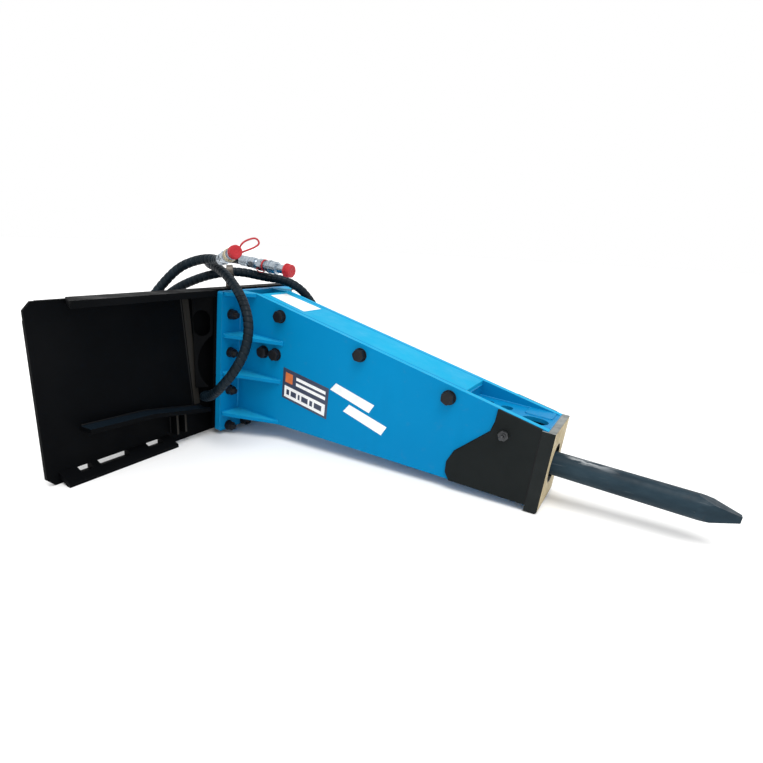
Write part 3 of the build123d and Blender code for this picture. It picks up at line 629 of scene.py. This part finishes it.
# ------------------------------------------------------------------ fasteners
SB = [(200.0, 257.0), (136.0, 123.0), (189.0, 124.5), (518.5, 195.5), (822.0, 137.0)]
FB = [(x, h) for x in (-141, 141) for h in (238.0, 104.0, -34.0, -171.0)] + [(-60, -171.0), (60, -171.0)]
so = Soup()
for i, (s, h) in enumerate(SB):
    so.hexa(H(s, -98, h), -YY, 36, 15, turn=0.4 * i)
    so.lathe(H(s, -98, h), YY, [(0, 11.9), (215, 11.9)], 24)
    so.thread(H(s, 118 - 0.5, h), YY, 11.9, 8)
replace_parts(so.make("cross_bolt_set", OXIDE), "cross_bolts")
so = Soup()
for i, (s, h) in enumerate(SB):
    so.hexa(H(s, 98, h), YY, 36, 20, both=True, turn=0.7 * i, bore=12.1)
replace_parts(so.make("cross_nut_set", OXIDE), "cross_bolt_nuts")
so = Soup()
for i, (y, h) in enumerate(FB):
    so.hexa(H(26, y, h), AX, 30, 18, both=True, turn=0.5 * i, bore=10.1)
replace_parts(so.make("flange_nut_set", OXIDE), "flange_nuts")
so = Soup()
for i, (y, h) in enumerate(FB):
    so.hexa(H(-16, y, h), -AX, 30, 12, turn=0.3 * i)
    so.lathe(H(-16, y, h), AX, [(0, 9.95), (38, 9.95)], 24)
    so.thread(H(22, y, h), AX, 9.95, 34)
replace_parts(so.make("flange_stud_set", OXIDE), "flange_studs")

# grease fitting with a ball nose
gf = Soup()
g0 = H(996, -66, 75.4)
gf.lathe(g0, -YY, [(0, 7.9), (36.5, 7.9)], 32)
gf.hexa(H(996, -102, 75.4), -YY, 27, 9, turn=0.2)
gf.lathe(H(996, -111, 75.4), -YY, [(0, 9.0), (1.2, 9.4), (4.0, 9.4), (5.0, 6.2), (15.0, 6.2), (16.2, 4.6), (18.5, 4.4), (20.0, 6.0), (22.0, 6.4), (23.4, 5.0), (24.0, 2.4)], 32)
NIP = metal("nipple_steel", (0.055, 0.058, 0.062), 0.30, scale=90, dirt=0.3, metallic=0.7)
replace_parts(gf.make("grease_nipple", NIP), "grease_fitting")

# ------------------------------------------------------------------ labels without lettering
def on_side(s, h, lift=0.45):
    return H(s, -94 - lift, h)


def flat(name, polys, place, mat, body="breaker"):
    v, f = [], []
    for poly in polys:
        k = len(v)
        v += [place(a, b) for a, b in poly]
        f.append(tuple(range(k, k + len(poly))))
    o = add(name, v, f, mat, body, smooth=False)
    so_ = o.modifiers.new("film", "SOLIDIFY")
    so_.thickness = 0.0003
    so_.offset = 0
    return o


def rect(a0, b0, a1, b1):
    return [(a0, b0), (a1, b0), (a1, b1), (a0, b1)]


def label_at(a, b, lift):
    # a, b in 0..1 across the near label, which follows the housing's slope a little
    s = 226 + 190 * a
    h = -34 + 108 * b - 30 * (a - 0.5)
    return on_side(s, h, lift)


flat("side_label_ground", [rect(0, 0, 1, 1)], lambda a, b: label_at(a, b, 0.4), STICK_N)
flat("side_label_field", [rect(0.05, 0.07, 0.95, 0.44)], lambda a, b: label_at(a, b, 0.75), STICK_W)
flat("side_label_bars", [rect(0.30, 0.58, 0.94, 0.68), rect(0.30, 0.76, 0.94, 0.86)], lambda a, b: label_at(a, b, 0.75), STICK_W)
flat("side_label_mark", [rect(0.06, 0.56, 0.22, 0.88)], lambda a, b: label_at(a, b, 0.75), STICK_O)
flat("side_label_code", [rect(0.10, 0.17, 0.16, 0.34), rect(0.20, 0.17, 0.32, 0.34), rect(0.36, 0.17, 0.40, 0.34), rect(0.44, 0.17, 0.58, 0.34), rect(0.62, 0.17, 0.68, 0.34), rect(0.72, 0.17, 0.88, 0.34)], lambda a, b: label_at(a, b, 1.1), STICK_N)
flat(
    "side_stripes",
    [
        [(421, 58), (441, 84), (588, 48), (572, 18)],
        [(478, -2), (498, 26), (640, -10), (624, -42)],
    ],
    lambda s, h: on_side(s, h, 0.5), STICK_W,
)
flat("cover_sticker", [[(112, -44), (262, -50), (262, 50), (112, 44)]], lambda s, y: H(s, y, top_h(s) + 0.5), STICK_W)

# ------------------------------------------------------------------ hoses
EX = np.array([40.0, -186.0, -110.0])
ED = unit([0.25, -0.96, 0.12])
FL = np.array([1.0, -1.0, 1.0])
D2 = np.array([math.cos(math.radians(6)), 0, -math.sin(math.radians(6))])
S2 = np.array([15.0, 22.0, 352.0])
D1 = unit([0.81, -0.57, 0.14])
S1 = np.array([128.0, -192.0, 362.0])
NEAR = [
    EX, EX + ED * 45, (95, -242, -98), (150, -266, -70), (208, -292, -32), (260, -280, 30), (286, -254, 102),
    (272, -224, 180), (215, -194, 250), (130, -160, 302), (48, -128, 330), (-20, -108, 340), (-62, -66, 346),
    (-64, -6, 352), S2 - D2 * 46, S2,
]
FAR = [
    EX * FL, (EX + ED * 45) * FL, (95, 250, -96), (145, 275, -66), (198, 286, -14), (236, 262, 62), (246, 222, 134),
    (236, 172, 200), (212, 130, 258), (164, 92, 290), (98, 58, 296), (51, -25, 316), (0, -70, 309),
    (-67, -108, 288), (-160, -142, 243),
    (-222, -176, 180), (-250, -238, 112), (-240, -312, 66), (-188, -362, 72), (-142, -352, 128), (-128, -296, 194),
    (-108, -238, 268), (-69, -196, 326), (-14, -168, 352), (42, -158, 361), S1 - D1 * 42, S1,
]


def route(points):
    """The hose's smooth line: a NURBS spline with the route's points as its control points."""
    cu = bpy.data.curves.new("route", "CURVE")
    cu.dimensions = "3D"
    sp = cu.splines.new("NURBS")
    sp.points.add(len(points) - 1)
    for q, p in zip(sp.points, points):
        q.co = (*(np.asarray(p, float) / 1000.0), 1.0)
    sp.order_u = 3
    sp.use_endpoint_u = True
    sp.resolution_u = 24
    ob = bpy.data.objects.new("route", cu)
    me = bpy.data.meshes.new_from_object(ob)
    pts = np.array([v.co[:] for v in me.vertices]) * 1000.0
    bpy.data.objects.remove(ob)
    bpy.data.curves.remove(cu)
    bpy.data.meshes.remove(me)
    return pts


def guarded_hose(name, points, node, exit_p, ride="breaker", pitch=19.0, gap=0.16):
    """A hose inside a spiral guard: a flat strip wound round it, with a narrow gap between turns."""
    line = route(points)
    p, s = resample(line, pitch / 12.0)
    fr = frames(p)
    n = 32
    sp = Soup()
    rings = []
    total = s[-1]
    for i, (q, t, e1, e2) in enumerate(fr):
        ring = []
        inset = min(1.0, min(s[i], total - s[i]) / 16.0)
        for j in range(n):
            a = 2 * math.pi * j / n
            ph = (s[i] / pitch + a / (2 * math.pi)) % 1.0
            edge = min(ph, 1 - ph)
            groove = max(0.0, 1 - edge / (gap * 0.5))
            crown = 0.35 * math.sin(math.pi * ph)
            rr = 15.6 - 2.3 * groove ** 0.6 + crown
            rr = 13.4 + (rr - 13.4) * min(1.0, inset * 2.0)
            ring.append(q + (e1 * math.cos(a) + e2 * math.sin(a)) * rr)
        rings.append(ring)
    sp.rings(rings)
    o = sp.make(name, GUARD, ride, angle=50)
    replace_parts(o, node)
    return o, p, total


hose_a, path_a, len_a = guarded_hose("guarded_hose_near", NEAR, "hose_near", EX)
hose_b, path_b, len_b = guarded_hose("guarded_hose_far", FAR, "hose_far", EX * FL)


# ------------------------------------------------------------------ hose ends, couplers and caps
def knurl(amount, count):
    def f(t, d, r):
        return r + amount * (1 if math.sin(count * t) > 0 else -1) * 0.5
    return f


def coupler(tag, S, D, cap_body, sleeve_body):
    fe = Soup()
    prof = [(0, 15.9), (0.6, 17.6), (3, 18.6)]
    d = 4.0
    while d < 36:
        prof += [(d, 18.7), (d + 0.9, 17.6), (d + 2.2, 17.6), (d + 3.1, 18.7), (d + 5.4, 18.8)]
        d += 6.4
    prof += [(40.5, 18.8), (43.0, 16.0), (44, 14.0), (52, 13.9)]
    fe.lathe(S, D, prof, 48, lambda t, dd, r: r * (1 + 0.012 * math.cos(8 * t)) if r > 16 else r)
    f_ = fe.make("ferrule_crimped_" + tag, ZINC)
    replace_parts(f_, "hose_ferrule_" + tag)
    ad = Soup()
    ad.hexa(S + D * 52, D, 38, 20, both=True, turn=0.3)
    ad.lathe(S + D * 71.5, D, [(0, 15.5), (1.2, 13.2), (4, 13.9), (5, 13.2), (6, 13.9), (7, 13.2), (8, 13.9), (9, 13.2), (10, 13.9), (11, 13.2), (13.6, 15.2), (14.8, 15.2)], 40)
    ad.hexa(S + D * 86, D, 38, 20, both=True, turn=0.75)
    a_ = ad.make("adapter_hex_" + tag, ZINC)
    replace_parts(a_, "adapter_" + tag)
    # raised grip rings and knurls over the turned bodies of the sleeve and the cap
    e1, e2 = basis(D)
    kn = Soup()
    n = 72
    rs, rrib, rc = (21.0, 22.5, 22.0) if tag == "near" else (18.8, 20.2, 18.4)
    for t0, t1, r in ((131.2, 134.6, rs), (136.6, 143.4, rrib), (146.0, 152.0, rs), (154.0, 168.0, rs)):
        rings = []
        for dd, up_ in ((t0, -0.3), (t0 + 0.3, 0.35), (t1 - 0.3, 0.35), (t1, -0.3)):
            rings.append([S + D * dd + (e1 * math.cos(2 * math.pi * j / n) + e2 * math.sin(2 * math.pi * j / n)) * (r + up_ + (0.30 if (j // 2) % 2 else -0.05)) for j in range(n)])
        kn.rings(rings)
    kn.make("sleeve_knurl_" + tag, ZINC if tag == "near" else YZINC, sleeve_body)
    gr = Soup()
    for t0 in (217.5, 220.7, 223.9, 227.1):
        gr.lathe(S, D, [(t0, rc - 0.2), (t0 + 0.4, rc + 0.6), (t0 + 1.5, rc + 0.6), (t0 + 1.9, rc - 0.2)], 56)
    gr.lathe(S, D, [(235.6, rc - 6.0), (236.1, rc - 5.6), (236.6, rc - 6.2), (236.7, rc - 10.0), (236.3, rc - 10.6), (236.3, 4.6), (237.0, 4.0), (237.2, 0.5)], 56)
    gr.make("cap_grip_" + tag, RED, cap_body)
    return f_, a_


n_parts = coupler("near", S2, D2, "cap_near", "sleeve_near")
f_parts = coupler("far", S1, D1, "cap_far", "sleeve_far")
n_parts += tuple(NODES[q + "_near"] for q in ("coupler_body", "coupler_sleeve", "dust_cap"))
f_parts += tuple(NODES[q + "_far"] for q in ("coupler_body", "coupler_sleeve", "dust_cap"))

# red cable tie with a free tail round the near hose's fitting, kept from the lost cap strap
tie = Soup()
tb = S2 + D2 * 113
te1, te2 = basis(D2)
ringp = [tb + (te1 * math.cos(a) + te2 * math.sin(a)) * 17.0 for a in np.linspace(0, 2 * math.pi, 49)[:-1]]
rr = []
for j in range(48):
    a = 2 * math.pi * j / 48
    rad = te1 * math.cos(a) + te2 * math.sin(a)
    c0 = tb + rad * 19.8
    rr.append([c0 + rad * (1.9 * math.cos(x)) + D2 * (3.2 * math.sin(x)) for x in (2 * math.pi * k / 12 for k in range(12))])
k0 = len(tie.v)
for r_ in rr:
    tie.v += [np.asarray(x, float) for x in r_]
for i in range(48):
    for j in range(12):
        a, b = k0 + i * 12 + j, k0 + i * 12 + (j + 1) % 12
        c, d = k0 + ((i + 1) % 48) * 12 + (j + 1) % 12, k0 + ((i + 1) % 48) * 12 + j
        tie.f.append((a, b, c, d))
left = np.array([-0.85, -0.52, -0.04])
q0 = tb + np.array([0, 0, -19.0])
tube(tie, route([q0, q0 + left * 8 + (0, 0, -6), q0 + left * 22 + (0, 0, -3), q0 + left * 32 + (0, 0, 6), q0 + left * 26 + (0, 0, 13), q0 + left * 12 + (0, 0, 8), q0 + left * 2 + (0, 0, 3)]), 1.5, 10)
tie.make("cap_tie_near", RED, "breaker")

# ------------------------------------------------------------------ floor, light
fl = bpy.data.meshes.new("floor")
z = LOW - 0.0005
fl.from_pydata([(-30, -30, z), (30, -30, z), (30, 30, z), (-30, 30, z)], [], [(0, 1, 2, 3)])
floor = bpy.data.objects.new("floor", fl)
scene.collection.objects.link(floor)
FLM = Mat("floor_pale", (0.90, 0.90, 0.90), 0.8, spec=0.1)
FLM.color(FLM.ramp(FLM.noise(1.2, 3), [(0.3, (0.90, 0.90, 0.90)), (0.7, (0.92, 0.92, 0.92))]))
fl.materials.append(FLM.m)

world = bpy.data.worlds.new("world")
scene.world = world
world.use_nodes = True
world.node_tree.nodes["Background"].inputs["Color"].default_value = (1.0, 1.0, 1.0, 1)
world.node_tree.nodes["Background"].inputs["Strength"].default_value = 1.0


def sun(name, frm, strength, angle, color=(1, 1, 1)):
    d = bpy.data.lights.new(name, "SUN")
    d.energy = strength
    d.angle = math.radians(angle)
    d.color = color
    o = bpy.data.objects.new(name, d)
    scene.collection.objects.link(o)
    o.rotation_mode = "QUATERNION"
    o.rotation_quaternion = (-Vector(frm)).to_track_quat("-Z", "Y")
    return o


sun("key", (0.30, -0.30, 0.95), 2.0, 35, (1.0, 0.995, 0.98))
